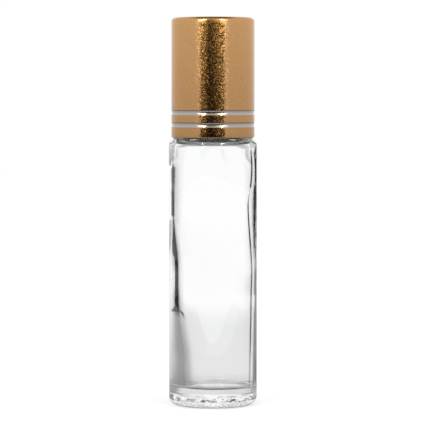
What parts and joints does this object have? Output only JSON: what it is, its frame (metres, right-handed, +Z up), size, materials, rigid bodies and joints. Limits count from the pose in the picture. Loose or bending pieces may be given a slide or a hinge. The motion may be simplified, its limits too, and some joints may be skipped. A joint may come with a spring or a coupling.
{
  "type": "roll-on bottle",
  "caption": "Slim clear glass bottle with a roller ball held by a plastic plug in its neck, closed by a tall gold metal screw cap with bright bands.",
  "frame": {"origin": "centre of the foot ring, on the plane that the bottle stands on", "axes": "+Z up along the bottle's axis, from the foot to the top of the cap; +X to the right and +Y away from the viewer of the picture"},
  "size_m": [0.02, 0.02, 0.0879],
  "materials": {
    "clear_glass": "clear, glossy, slightly uneven inside",
    "natural_plastic": "translucent natural, satin",
    "polished_steel": "mirror polished",
    "white_plastic": "moulded white, satin",
    "gold_aluminium": "gold anodised, glossy, with bright-cut silver bands"
  },
  "bodies": {
    "bottle": {"glass_bottle": "clear_glass", "roller_housing": "natural_plastic"},
    "ball": {"roller_ball": "polished_steel"},
    "cap": {"cap_liner": "white_plastic", "cap_shell": "gold_aluminium"}
  },
  "joints": [
    {"name": "cap_lift", "type": "slide", "parent": "bottle", "child": "cap", "axis": [0, 0, 1], "range_m": [0, 0.03]},
    {"name": "ball_roll", "type": "hinge", "parent": "bottle", "child": "ball", "pos_m": [0, 0, 0.07579], "axis": [1, 0, 0], "continuous": true}
  ]
}
